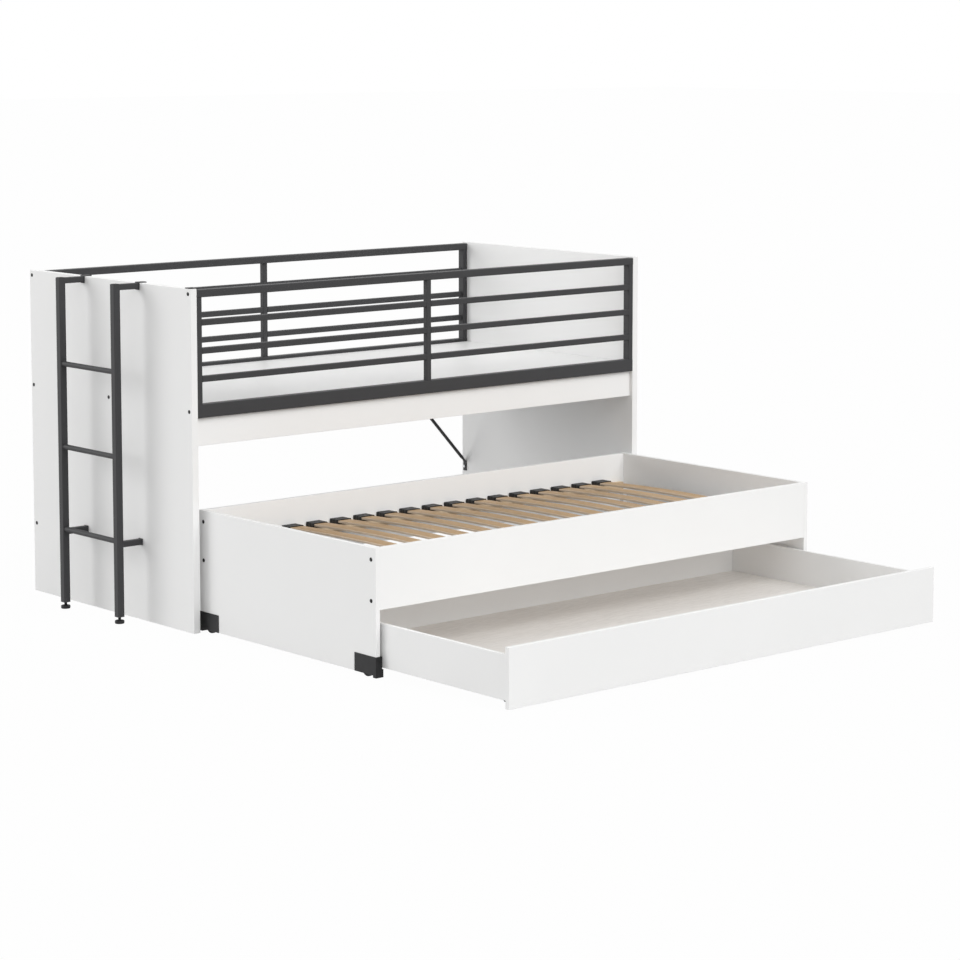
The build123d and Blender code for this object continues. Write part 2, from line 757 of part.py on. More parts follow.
for (side, end), (place_x, place_y) in castor_places.items():
    with BuildPart() as castor_wheel:
        with BuildSketch(plane_at("x", place_x - castor_width / 2)):
            with Locations((place_y, castor_axle_z)):
                Circle(castor_diameter / 2)
        extrude(amount=castor_width)
        fillet(castor_wheel.edges().filter_by(GeomType.CIRCLE), radius=castor_edge)
        with BuildSketch(plane_at("x", place_x - trunnion)):
            with Locations((place_y, castor_axle_z)):
                Circle(axle_diameter / 2)
        extrude(amount=2 * trunnion)
    save(f"drawer_{end}_{side}_wheel", castor_wheel)
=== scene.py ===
"""Looks of a mid sleeper bed with a ladder, a roll-out trundle bed and a storage drawer.

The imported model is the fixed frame: boards, tubes, brackets and housings keep their solids and
get their finishes here. Slats, slat holders, wheels, ladder feet, screw caps, weld beads and tube
plugs are new surfaces, worked out with numpy, that ride on the same bodies. Lengths are in metres.
"""

import json
import logging
import math
from dataclasses import dataclass, field
from enum import Enum

import bpy
import numpy as np
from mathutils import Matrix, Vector

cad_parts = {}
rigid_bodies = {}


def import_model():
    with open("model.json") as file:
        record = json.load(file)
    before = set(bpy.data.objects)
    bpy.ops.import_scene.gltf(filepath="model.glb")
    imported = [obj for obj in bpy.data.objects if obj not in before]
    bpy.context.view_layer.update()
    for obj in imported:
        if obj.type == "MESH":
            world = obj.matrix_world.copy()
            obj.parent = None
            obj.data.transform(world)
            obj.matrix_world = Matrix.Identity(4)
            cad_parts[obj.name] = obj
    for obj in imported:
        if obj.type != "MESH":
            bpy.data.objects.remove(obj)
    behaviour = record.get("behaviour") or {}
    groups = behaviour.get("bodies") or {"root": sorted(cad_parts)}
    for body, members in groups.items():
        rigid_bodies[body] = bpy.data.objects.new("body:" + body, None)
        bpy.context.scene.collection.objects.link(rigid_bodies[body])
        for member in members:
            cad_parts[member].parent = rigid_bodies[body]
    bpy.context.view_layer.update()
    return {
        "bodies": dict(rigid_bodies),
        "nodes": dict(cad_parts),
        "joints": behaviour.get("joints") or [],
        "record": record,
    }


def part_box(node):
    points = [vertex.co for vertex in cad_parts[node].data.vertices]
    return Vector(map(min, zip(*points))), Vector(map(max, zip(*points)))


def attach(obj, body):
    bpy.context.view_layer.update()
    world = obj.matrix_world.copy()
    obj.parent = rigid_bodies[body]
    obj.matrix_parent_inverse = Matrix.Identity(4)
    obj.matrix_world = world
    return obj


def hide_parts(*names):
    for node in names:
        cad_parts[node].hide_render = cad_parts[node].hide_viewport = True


log = logging.getLogger("mid_sleeper_bed")

MILLIMETRE = 0.001
SHARP_EDGE = math.radians(35)
BEAD_SWELL = 0.18
BEAD_SIDES = 8


class Axis(Enum):
    """Row axis that a surface is turned about or carried along."""

    X = 0
    Y = 1
    Z = 2


class End(Enum):
    """Front or back end of the trundle, with the way that its outside faces along Y."""

    FRONT = -1
    BACK = 1


class Side(Enum):
    """Left or right end of the bed, with the way that its outside faces along X."""

    LEFT = -1
    RIGHT = 1


# Surfaces


@dataclass(frozen=True)
class Surface:
    """Closed or open surface as points and faces, with an optional number on each point."""

    points: np.ndarray
    faces: tuple
    marks: np.ndarray | None = None

    def volume(self) -> float:
        """Signed volume: a sixth of the sum of a . (b x c) over the triangles of each face's fan."""
        total = 0.0
        for group in self.faces:
            first = self.points[group[:, :1]]
            second = self.points[group[:, 1:-1]]
            third = self.points[group[:, 2:]]
            total += float((first * np.cross(second, third)).sum()) / 6
        return total

    def outward(self) -> "Surface":
        """The same closed surface with its faces turned outwards, judged by its signed volume."""
        if self.volume() >= 0:
            return self
        return Surface(self.points, tuple(group[:, ::-1] for group in self.faces), self.marks)


def joined(surfaces: list[Surface]) -> Surface:
    """Join several surfaces into one.

    Args:
        surfaces: surfaces that keep their own points and faces.

    Returns:
        One surface whose faces count from each surface's first point.
    """
    counts = [len(s.points) for s in surfaces]
    starts = np.concatenate([[0], np.cumsum(counts)[:-1]])
    faces = tuple(group + start for s, start in zip(surfaces, starts) for group in s.faces)
    marks = None
    if all(s.marks is not None for s in surfaces):
        marks = np.concatenate([s.marks for s in surfaces])
    return Surface(np.concatenate([s.points for s in surfaces]), faces, marks)


def grid_faces(rings: int, around: int, closed_rings: bool = False) -> np.ndarray:
    """Quads between neighbouring rings of points, where each ring is closed on itself.

    Args:
        rings: how many rings there are.
        around: how many points one ring has.
        closed_rings: whether the last ring is joined to the first.

    Returns:
        Array of quads, four indices each.
    """
    first = np.arange(rings if closed_rings else rings - 1)[:, None]
    second = (first + 1) % rings
    here = np.arange(around)[None, :]
    there = (here + 1) % around
    corners = (first * around + here, first * around + there, second * around + there, second * around + here)
    return np.stack(corners, axis=-1).reshape(-1, 4)


def loft(rings: np.ndarray, marks: np.ndarray | None = None) -> Surface:
    """Skin over a row of rings, closed by a flat face at each end.

    Args:
        rings: array of rings, points of a ring, three coordinates.
        marks: a number for each point, or none.

    Returns:
        Closed surface facing outwards.
    """
    count, around = rings.shape[:2]
    last = (count - 1) * around
    caps = np.stack([np.arange(around)[::-1], last + np.arange(around)])
    flat_marks = None if marks is None else marks.reshape(-1)
    return Surface(rings.reshape(-1, 3), (grid_faces(count, around), caps), flat_marks).outward()


def lathe(profile: np.ndarray, centre: Vector, axis: Axis, segments: int = 64) -> Surface:
    """Surface of revolution: each profile point (radius, height) goes round the axis in a circle.

    Args:
        profile: rows of radius and height along the axis, in metres.
        centre: point on the axis at height 0.
        axis: row axis that the surface turns about.
        segments: points in one circle.

    Returns:
        Closed surface facing outwards.
    """
    angle = np.linspace(0, 2 * math.pi, segments, endpoint=False)
    radius = profile[:, :1]
    height = np.repeat(profile[:, 1:2], segments, axis=1)
    spread = [height, radius * np.cos(angle), radius * np.sin(angle)]
    order = {Axis.X: (0, 1, 2), Axis.Y: (2, 0, 1), Axis.Z: (1, 2, 0)}[axis]
    rings = np.stack([spread[n] for n in order], axis=-1) + np.array(centre)
    return loft(rings)


def rounded_rectangle(width: float, height: float, radius: float, arc: int = 5) -> np.ndarray:
    """Outline of a rectangle with quarter circles at its corners, about the origin.

    Args:
        width: size along the outline's first axis.
        height: size along its second axis.
        radius: corner radius.
        arc: points on each quarter circle.

    Returns:
        Rows of two coordinates, counter-clockwise.
    """
    quarter = np.linspace(0, math.pi / 2, arc)
    turns = quarter[None, :] + np.arange(4)[:, None] * math.pi / 2
    signs = np.array([[1, 1], [-1, 1], [-1, -1], [1, -1]])
    centres = signs * (np.array([width, height]) / 2 - radius)
    circle = np.stack([np.cos(turns), np.sin(turns)], axis=-1) * radius
    return (centres[:, None, :] + circle).reshape(-1, 2)


def carried(profile: np.ndarray, path: np.ndarray, side: np.ndarray, up: np.ndarray) -> np.ndarray:
    """Rings of a profile carried along a path: path + first * side + second * up.

    Args:
        profile: rows of two coordinates.
        path: rows of three coordinates.
        side: direction of the profile's first axis, one row for all or one for each path point.
        up: direction of its second axis, in the same way.

    Returns:
        Array of rings, points of a ring, three coordinates.
    """
    side = np.broadcast_to(side, path.shape)
    up = np.broadcast_to(up, path.shape)
    first = profile[None, :, :1] * side[:, None, :]
    second = profile[None, :, 1:] * up[:, None, :]
    return path[:, None, :] + first + second


def weld_bead(loop: np.ndarray, along: np.ndarray, radius: float, ripples: int) -> Surface:
    """Rippled tube round a closed loop: its radius swells as 1 + BEAD_SWELL * sin(ripples * turn).

    Args:
        loop: rows of three coordinates round the joint, without repeating the first.
        along: direction of the tube that is welded, square to the loop's plane.
        radius: mean radius of the bead.
        ripples: how many ripples go round the loop.

    Returns:
        Closed ring of weld metal.
    """
    tangent = np.roll(loop, -1, axis=0) - np.roll(loop, 1, axis=0)
    tangent /= np.linalg.norm(tangent, axis=1, keepdims=True)
    side = np.cross(tangent, along)
    turn = np.linspace(0, 2 * math.pi, len(loop), endpoint=False)
    swell = radius * (1 + BEAD_SWELL * np.sin(ripples * turn))
    angle = np.linspace(0, 2 * math.pi, BEAD_SIDES, endpoint=False)
    across = np.cos(angle)[None, :, None] * side[:, None, :]
    over = np.sin(angle)[None, :, None] * along
    rings = loop[:, None, :] + swell[:, None, None] * (across + over)
    faces = grid_faces(len(loop), len(angle), closed_rings=True)
    return Surface(rings.reshape(-1, 3), (faces,)).outward()


def plane_loop(outline: np.ndarray, centre: np.ndarray, first: Axis, second: Axis) -> np.ndarray:
    """Place a flat outline in the plane of two row axes, about a centre."""
    loop = np.tile(np.array(centre, float), (len(outline), 1))
    loop[:, first.value] += outline[:, 0]
    loop[:, second.value] += outline[:, 1]
    return loop


# Shader nodes


class ShaderSheet:
    """Material under construction, with short ways to add and link its nodes."""

    def __init__(self, name: str) -> None:
        """Start an empty node tree that ends in one principled shader.

        Args:
            name: the material's name.
        """
        self.material = bpy.data.materials.new(name)
        self.material.use_nodes = True
        self.tree = self.material.node_tree
        self.tree.nodes.clear()
        self.output = self.tree.nodes.new("ShaderNodeOutputMaterial")
        self.shader = self.tree.nodes.new("ShaderNodeBsdfPrincipled")
        self.link(self.shader.outputs[0], self.output.inputs["Surface"])

    def node(self, kind: str, **settings: object) -> bpy.types.Node:
        """Add a node and set its properties, or its inputs where no property has that name.

        Args:
            kind: Blender's name of the node type.
            settings: property or input names, with spaces written as underscores, and their values.

        Returns:
            The new node.
        """
        made = self.tree.nodes.new(kind)
        for key, value in settings.items():
            if hasattr(made, key):
                setattr(made, key, value)
            else:
                made.inputs[key.replace("_", " ")].default_value = value
        return made

    def link(self, source: bpy.types.NodeSocket, target: bpy.types.NodeSocket) -> None:
        """Link an output to an input."""
        self.tree.links.new(source, target)

    def place(self, scale: tuple[float, float, float]) -> bpy.types.NodeSocket:
        """Object coordinates stretched by a scale for each axis."""
        where = self.node("ShaderNodeTexCoord")
        mapping = self.node("ShaderNodeMapping", Scale=scale)
        self.link(where.outputs["Object"], mapping.inputs["Vector"])
        return mapping.outputs["Vector"]

    def noise(self, place: bpy.types.NodeSocket, size: float, detail: float = 3.0) -> bpy.types.NodeSocket:
        """Noise whose features are about one size across.

        Args:
            place: coordinates in metres.
            size: size of a feature in metres.
            detail: how many finer layers are added.

        Returns:
            The noise value's socket.
        """
        made = self.node("ShaderNodeTexNoise", Scale=1 / size, Detail=detail)
        self.link(place, made.inputs["Vector"])
        return made.outputs["Fac"]

    def remap(self, value: bpy.types.NodeSocket, low: float, high: float, span: tuple = (0.3, 0.7)):
        """Number remapped from a span of noise to a range.

        Args:
            value: socket of the number.
            low: result at the span's lower end.
            high: result at its upper end.
            span: the stretch of input that is used.

        Returns:
            The result's socket.
        """
        made = self.node("ShaderNodeMapRange")
        made.inputs["From Min"].default_value = span[0]
        made.inputs["From Max"].default_value = span[1]
        made.inputs["To Min"].default_value = low
        made.inputs["To Max"].default_value = high
        self.link(value, made.inputs["Value"])
        return made.outputs["Result"]

    def blend(self, share: bpy.types.NodeSocket, first: object, second: object) -> bpy.types.NodeSocket:
        """Mix two colours, each a socket or a colour, by a share.

        Args:
            share: socket of the share of the second colour.
            first: colour, or its socket.
            second: colour, or its socket.

        Returns:
            The mixed colour's socket.
        """
        made = self.node("ShaderNodeMix", data_type="RGBA")
        self.link(share, made.inputs["Factor"])
        for name, colour in (("A", first), ("B", second)):
            target = next(s for s in made.inputs if s.name == name and s.type == "RGBA")
            if isinstance(colour, bpy.types.NodeSocket):
                self.link(colour, target)
            else:
                target.default_value = (*colour, 1.0)
        return next(s for s in made.outputs if s.type == "RGBA")

    def bump(self, height: bpy.types.NodeSocket, depth: float, strength: float = 1.0) -> None:
        """Raise the surface by a height pattern of a given depth in metres."""
        made = self.node("ShaderNodeBump", Strength=strength, Distance=depth)
        self.link(height, made.inputs["Height"])
        self.link(made.outputs["Normal"], self.shader.inputs["Normal"])

    def colour(self, socket: bpy.types.NodeSocket) -> None:
        """Use a colour socket as the surface's base colour."""
        self.link(socket, self.shader.inputs["Base Color"])

    def roughness(self, socket: bpy.types.NodeSocket) -> None:
        """Use a number socket as the surface's roughness."""
        self.link(socket, self.shader.inputs["Roughness"])


# Finishes


@dataclass(frozen=True)
class BoardFinish:
    """Satin melamine on board: a faint cloudiness in the white and a fine pearled texture."""

    name: str
    tone: tuple[float, float, float]
    cloud: float = 0.985
    cloud_size: float = 0.35
    gloss: float = 0.42
    sheen_size: float = 0.012
    pearl_size: float = 0.0011
    pearl_depth: float = 0.00004

    def material(self) -> bpy.types.Material:
        """Make the material."""
        sheet = ShaderSheet(self.name)
        place = sheet.place((1, 1, 1))
        cloud = sheet.remap(sheet.noise(place, self.cloud_size), 0, 1)
        darker = tuple(c * self.cloud for c in self.tone)
        sheet.colour(sheet.blend(cloud, darker, self.tone))
        sheen = sheet.noise(place, self.sheen_size)
        sheet.roughness(sheet.remap(sheen, self.gloss - 0.04, self.gloss + 0.05))
        sheet.bump(sheet.noise(place, self.pearl_size, 2), self.pearl_depth)
        return sheet.material


@dataclass(frozen=True)
class GrainFinish:
    """Wood with long grain: fine pores and broader bands that run along one axis."""

    name: str
    light: tuple[float, float, float]
    dark: tuple[float, float, float]
    run: Axis
    gloss: float = 0.55
    stretch: float = 18.0
    edge: tuple[float, float, float] | None = None
    board_pitch: float = 0.0
    board_shade: float = 0.8
    band_size: float = 0.30
    pore_size: float = 0.035
    pore_depth: float = 0.00012
    fleck_shade: float = 0.72
    fleck_share: float = 0.45

    def scale(self) -> tuple[float, float, float]:
        """Coordinate scale that stretches the grain along its run."""
        return tuple(1.0 if axis is self.run else self.stretch for axis in Axis)

    def material(self) -> bpy.types.Material:
        """Make the material. The edge colour shows where the mesh's edge_mark is 1."""
        sheet = ShaderSheet(self.name)
        place = sheet.place(self.scale())
        bands = sheet.remap(sheet.noise(place, self.band_size, 5), 0, 1, (0.35, 0.65))
        pores = sheet.remap(sheet.noise(place, self.pore_size, 4), 0, 1, (0.4, 0.75))
        wood = sheet.blend(bands, self.light, self.dark)
        deeper = tuple(c * self.fleck_shade for c in self.dark)
        fleck = sheet.node("ShaderNodeMath", operation="MULTIPLY")
        fleck.inputs[1].default_value = self.fleck_share
        sheet.link(pores, fleck.inputs[0])
        wood = sheet.blend(fleck.outputs[0], wood, deeper)
        if self.board_pitch:
            wood = self.varied(sheet, wood)
        if self.edge is not None:
            mark = sheet.node("ShaderNodeAttribute", attribute_name="edge_mark")
            wood = sheet.blend(mark.outputs["Fac"], wood, self.edge)
        sheet.colour(wood)
        sheet.roughness(sheet.remap(pores, self.gloss - 0.05, self.gloss + 0.1, (0, 1)))
        sheet.bump(pores, self.pore_depth, 0.6)
        return sheet.material

    def varied(self, sheet: ShaderSheet, wood: bpy.types.NodeSocket) -> bpy.types.NodeSocket:
        """Give each board along X its own tone, by noise that is steady across one pitch."""
        where = sheet.node("ShaderNodeTexCoord")
        split = sheet.node("ShaderNodeSeparateXYZ")
        sheet.link(where.outputs["Object"], split.inputs[0])
        number = sheet.node("ShaderNodeMath", operation="SNAP")
        number.inputs[1].default_value = self.board_pitch
        sheet.link(split.outputs["X"], number.inputs[0])
        tone = sheet.node("ShaderNodeTexWhiteNoise", noise_dimensions="1D")
        sheet.link(number.outputs[0], tone.inputs["W"])
        share = sheet.remap(tone.outputs["Value"], 0.0, 0.5, (0, 1))
        return sheet.blend(share, wood, tuple(c * self.board_shade for c in self.dark))


@dataclass(frozen=True)
class CoatFinish:
    """Powder coat on steel: an orange-peel skin, with fine grains painted lighter in the colour as painted
    glints that stand in for its sparkle.
    """

    name: str
    tone: tuple[float, float, float]
    gloss: float = 0.48
    shine: float = 0.3
    peel: float = 0.00006
    peel_size: float = 0.0022
    grain_size: float = 0.0006
    # Painted highlight: how much lighter the grains painted in as glints are than the coat, and how much of
    # them shows.
    painted_glint: float = 1.35
    painted_glint_share: float = 0.5
    shade: float = 0.93
    shade_size: float = 0.05

    def material(self) -> bpy.types.Material:
        """Make the material."""
        sheet = ShaderSheet(self.name)
        place = sheet.place((1, 1, 1))
        grains = sheet.remap(sheet.noise(place, self.grain_size, 2), 0, 1, (0.35, 0.7))
        broad = sheet.remap(sheet.noise(place, self.shade_size), 0, 1)
        base = sheet.blend(broad, tuple(c * self.shade for c in self.tone), self.tone)
        # Painted highlight: grains lightened in the base colour stand in for the glints of sparkle on the
        # coat.
        lighter = tuple(min(1.0, c * self.painted_glint) for c in self.tone)
        share = sheet.node("ShaderNodeMath", operation="MULTIPLY")
        share.inputs[1].default_value = self.painted_glint_share
        sheet.link(grains, share.inputs[0])
        sheet.colour(sheet.blend(share.outputs[0], base, lighter))
        sheet.roughness(sheet.remap(grains, self.gloss, self.gloss + 0.08, (0, 1)))
        sheet.shader.inputs["Specular IOR Level"].default_value = self.shine
        sheet.bump(sheet.noise(place, self.peel_size, 3), self.peel)
        return sheet.material


@dataclass(frozen=True)
class MouldedFinish:
    """Moulded plastic or rubber with a spark-eroded grain and faint flow shading."""

    name: str
    tone: tuple[float, float, float]
    gloss: float = 0.5
    shine: float = 0.3
    grain: float = 0.0009
    grain_depth: float = 0.00005
    flow_size: float = 0.03
    flow_shades: tuple[float, float] = (0.8, 1.15)

    def material(self) -> bpy.types.Material:
        """Make the material."""
        sheet = ShaderSheet(self.name)
        place = sheet.place((1, 1, 1))
        flow = sheet.remap(sheet.noise(place, self.flow_size), 0, 1)
        darker, lighter = (tuple(c * shade for c in self.tone) for shade in self.flow_shades)
        sheet.colour(sheet.blend(flow, darker, lighter))
        pits = sheet.node("ShaderNodeTexVoronoi", Scale=1 / self.grain)
        sheet.link(place, pits.inputs["Vector"])
        pit = pits.outputs["Distance"]
        sheet.roughness(sheet.remap(pit, self.gloss - 0.05, self.gloss + 0.08, (0, 1)))
        sheet.shader.inputs["Specular IOR Level"].default_value = self.shine
        sheet.bump(pit, self.grain_depth, 0.7)
        return sheet.material


@dataclass(frozen=True)
class PlatedFinish:
    """Zinc-plated steel with fine drawn lines along one axis."""

    name: str
    tone: tuple[float, float, float]
    run: Axis
    stretch: float = 30.0
    line_size: float = 0.02
    line_depth: float = 0.00002
    line_shade: float = 0.85

    def material(self) -> bpy.types.Material:
        """Make the material."""
        sheet = ShaderSheet(self.name)
        place = sheet.place(tuple(1.0 if axis is self.run else self.stretch for axis in Axis))
        lines = sheet.remap(sheet.noise(place, self.line_size, 4), 0, 1)
        sheet.shader.inputs["Metallic"].default_value = 1.0
        sheet.colour(sheet.blend(lines, tuple(c * self.line_shade for c in self.tone), self.tone))
        sheet.roughness(sheet.remap(lines, 0.28, 0.42, (0, 1)))
        sheet.bump(lines, self.line_depth)
        return sheet.material


class Finish(Enum):
    """Every finish of the bed."""

    WHITE_BOARD = BoardFinish("white_melamine", (0.88, 0.88, 0.875))
    DRAWER_BOARD = GrainFinish(
        "drawer_lining", (0.82, 0.795, 0.765), (0.79, 0.765, 0.73), Axis.X, gloss=0.5, stretch=10.0
    )
    SLAT_WOOD = GrainFinish(
        "bonded_birch",
        (0.56, 0.375, 0.20),
        (0.45, 0.29, 0.15),
        Axis.Y,
        edge=(0.66, 0.53, 0.40),
        board_pitch=0.1014,
    )
    RAIL_WOOD = GrainFinish("planed_softwood", (0.74, 0.60, 0.42), (0.66, 0.50, 0.33), Axis.X)
    CHARCOAL_COAT = CoatFinish("charcoal_powder_coat", (0.038, 0.038, 0.040))
    BLACK_PLASTIC = MouldedFinish("moulded_black", (0.013, 0.013, 0.014))
    WHEEL_PLASTIC = MouldedFinish("wheel_tread", (0.032, 0.032, 0.034), gloss=0.6)
    RUBBER_PAD = MouldedFinish("foot_rubber", (0.012, 0.012, 0.013), gloss=0.7)
    ZINC_PLATE = PlatedFinish("zinc_plate", (0.62, 0.63, 0.65), Axis.X)


class FinishRack:
    """Makes each finish's material once and hands it out."""

    def __init__(self) -> None:
        """Start with no material made."""
        self.made: dict[Finish, bpy.types.Material] = {}

    def get(self, finish: Finish) -> bpy.types.Material:
        """Material of a finish, made the first time it is asked for."""
        if finish not in self.made:
            self.made[finish] = finish.value.material()
        return self.made[finish]


@dataclass
class SubAssembly:
    """Part of the bed that dresses its solids and adds its own surfaces."""

    nodes: dict[str, bpy.types.Object]
    rack: FinishRack

    def dress(self, finish: Finish, *names: str) -> None:
        """Give solids of the frame a finish.

        Args:
            finish: the finish.
            names: names of the solids' nodes.
        """
        material = self.rack.get(finish)
        for name in names:
            solid = self.nodes[name]
            if not solid.material_slots:
                solid.data.materials.append(material)
            for slot in solid.material_slots:
                slot.material = material
            log.info("solid %s: %s", name, finish.value.name)

    def piece(
        self, name: str, surface: Surface, finish: Finish, body: str, *stands_for: str
    ) -> bpy.types.Object:
        """Make a piece from a surface, finish it and let it ride on a body.

        Args:
            name: the piece's name.
            surface: its points and faces.
            finish: its finish.
            body: the body that it moves with.
            stands_for: nodes that it is shown in place of.

        Returns:
            The new object.
        """
        mesh = bpy.data.meshes.new(name)
        faces = [face for group in surface.faces for face in group.tolist()]
        mesh.from_pydata(surface.points.tolist(), [], faces)
        if surface.marks is not None:
            attribute = mesh.attributes.new("edge_mark", "FLOAT", "POINT")
            attribute.data.foreach_set("value", surface.marks.astype(np.float32))
        mesh.validate()
        mesh.update()
        made = bpy.data.objects.new(name, mesh)
        bpy.context.scene.collection.objects.link(made)
        mesh.materials.append(self.rack.get(finish))
        mesh.shade_smooth()
        mesh.set_sharp_from_angle(angle=SHARP_EDGE)
        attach(made, body)
        if stands_for:
            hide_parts(*stands_for)
        log.info("piece %s: %d faces, rides on %s", name, len(faces), body)
        return made


@dataclass(frozen=True)
class CapShape:
    """Domed plastic cover over a screw head, with a thin rim against the board."""

    radius: float = 6.5 * MILLIMETRE
    rise: float = 1.9 * MILLIMETRE
    rim: float = 0.5 * MILLIMETRE
    shoulder: float = 0.3 * MILLIMETRE
    tip: float = 0.03
    steps: int = 9
    segments: int = 40

    def surface(self, centre: Vector, side: Side) -> Surface:
        """Dome turned about X: (radius - shoulder) * sin(t) against rim + (rise - rim) * cos(t).

        Args:
            centre: point on the board's face under the cap.
            side: the way that the cap faces.

        Returns:
            Closed surface of the cap.
        """
        turn = np.linspace(math.pi / 2, self.tip, self.steps)
        across = (self.radius - self.shoulder) * np.sin(turn)
        height = self.rim + (self.rise - self.rim) * np.cos(turn)
        rim = np.array([[self.radius, 0.0], [self.radius, self.rim * 0.7]])
        profile = np.concatenate([rim, np.column_stack([across, height])])
        profile[:, 1] *= side.value
        return lathe(profile, centre, Axis.X, self.segments)


@dataclass
class UpperBed(SubAssembly):
    """End panels, side board, guard rails, deck, braces and screw caps of the fixed bed."""

    guard_levels: tuple[float, ...] = (0.8375, 0.93, 1.0225)
    bar: float = 20 * MILLIMETRE
    bar_corner: float = 2.5 * MILLIMETRE
    bead: float = 0.8 * MILLIMETRE
    ripples: int = 11
    cap: CapShape = field(default_factory=CapShape)
    cap_places: tuple[tuple[float, float], ...] = ()

    def build(self) -> None:
        """Dress the solids and add the caps and the weld beads."""
        self.dress(Finish.WHITE_BOARD, "left_end_panel", "right_end_panel", "front_side_board")
        self.dress(Finish.WHITE_BOARD, *[f"deck_board_{n}" for n in range(1, 6)])
        for place in ("front", "back"):
            frame = ("bed_rail", "top_rail", "guard_rails", "guard_posts")
            self.dress(Finish.CHARCOAL_COAT, *[f"{place}_{member}" for member in frame])
            self.add_guard_welds(place)
        self.dress(Finish.CHARCOAL_COAT, "centre_bars", "deck_ledges", "deck_cross_bars")
        self.dress(Finish.CHARCOAL_COAT, "left_brace", "right_brace")
        self.dress(Finish.ZINC_PLATE, "brace_bolts")
        self.add_caps()

    def add_guard_welds(self, place: str) -> None:
        """Beads where the guard rails meet the posts and the centre bar.

        Args:
            place: front or back guard.
        """
        low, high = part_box(f"{place}_guard_rails")
        middle = (low.x + high.x) / 2
        outline = rounded_rectangle(self.bar, self.bar, self.bar_corner, 6)
        along = np.array([1.0, 0.0, 0.0])
        beads = []
        for x in (low.x, middle - self.bar / 2, middle + self.bar / 2, high.x):
            for level in self.guard_levels:
                loop = plane_loop(outline, (x, (low.y + high.y) / 2, level), Axis.Y, Axis.Z)
                beads.append(weld_bead(loop, along, self.bead, self.ripples))
        self.piece(f"{place}_guard_welds", joined(beads), Finish.CHARCOAL_COAT, "bed")

    def add_caps(self) -> None:
        """Domed caps on both end panels, in place of the flat ones."""
        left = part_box("left_end_panel")[0].x
        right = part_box("right_end_panel")[1].x
        caps = []
        for face, side in ((left, Side.LEFT), (right, Side.RIGHT)):
            caps += [self.cap.surface(Vector((face, y, z)), side) for y, z in self.cap_places]
        self.piece("bed_cap_domes", joined(caps), Finish.BLACK_PLASTIC, "bed", "bed_screw_caps")


